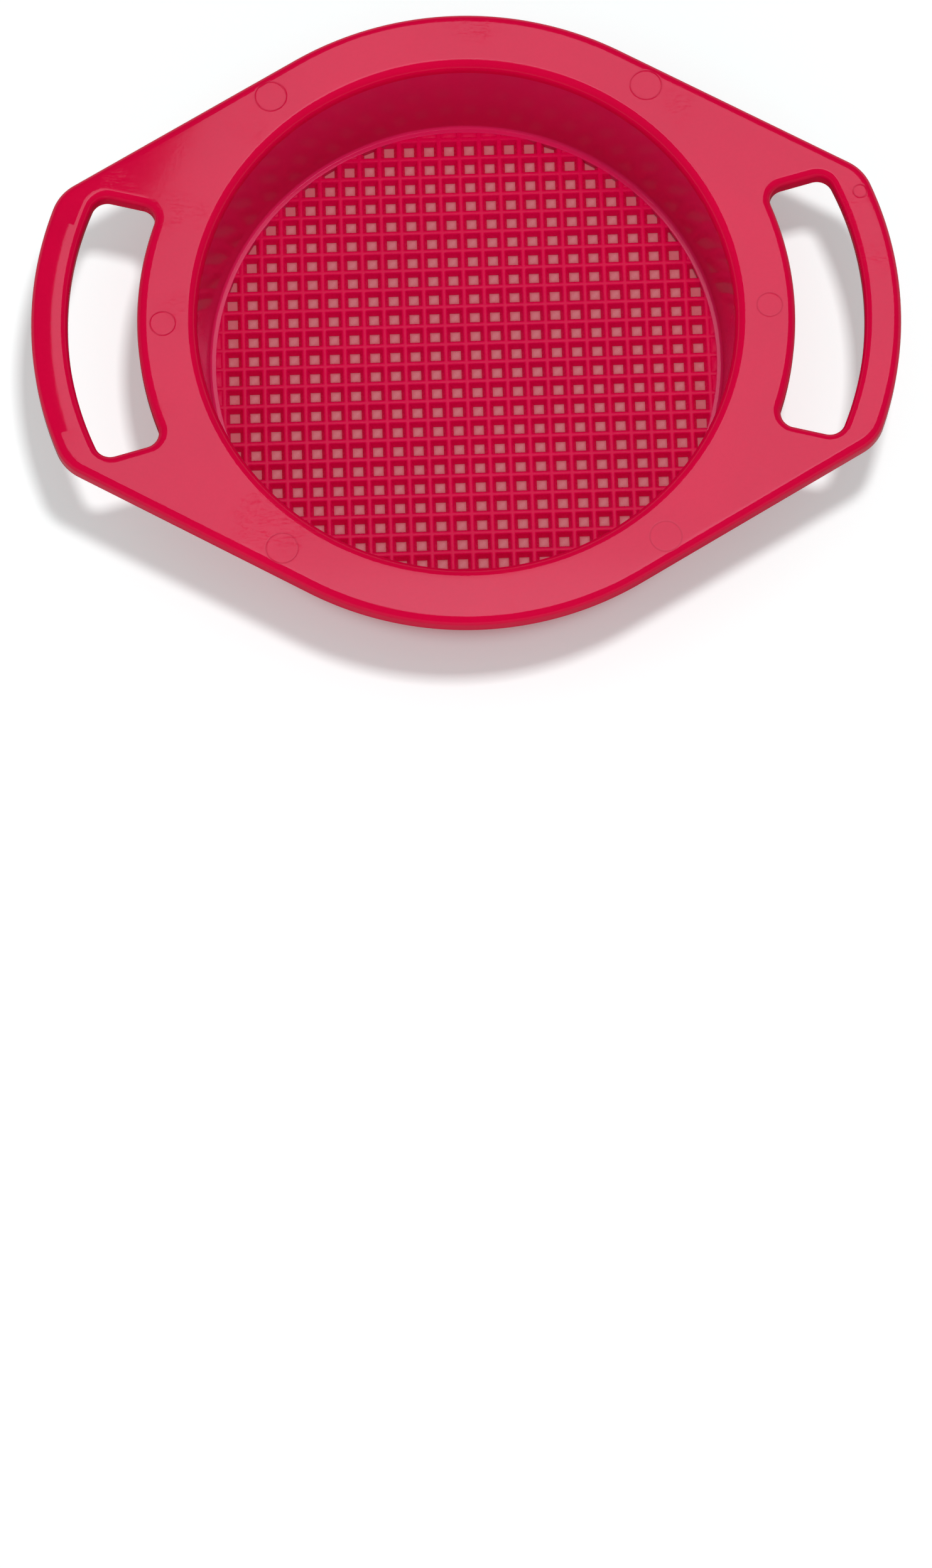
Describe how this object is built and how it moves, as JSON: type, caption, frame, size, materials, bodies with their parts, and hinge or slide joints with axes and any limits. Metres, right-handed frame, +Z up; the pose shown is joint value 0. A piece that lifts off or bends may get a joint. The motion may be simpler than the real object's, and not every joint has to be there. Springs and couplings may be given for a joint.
{
  "type": "sand sieve",
  "caption": "Moulded plastic sand sieve: a shallow round basin with a floor of square holes, a flat rim and a slotted hand grip at each side.",
  "frame": {"origin": "centre of the face that the sieve rests on", "axes": "+X towards the right grip, +Y towards the back, +Z up out of the basin"},
  "size_m": [0.275, 0.208, 0.043],
  "materials": {
    "plastic": "satin moulded polypropylene, through-coloured red"
  },
  "bodies": {
    "root": {"rim_plate": "plastic", "back_rim_edge": "plastic", "front_rim_edge": "plastic", "left_grip": "plastic", "right_grip": "plastic", "left_slot_edge": "plastic", "right_slot_edge": "plastic", "mouth_edge": "plastic", "basin_wall": "plastic", "floor_ring": "plastic", "grille": "plastic"}
  },
  "joints": []
}
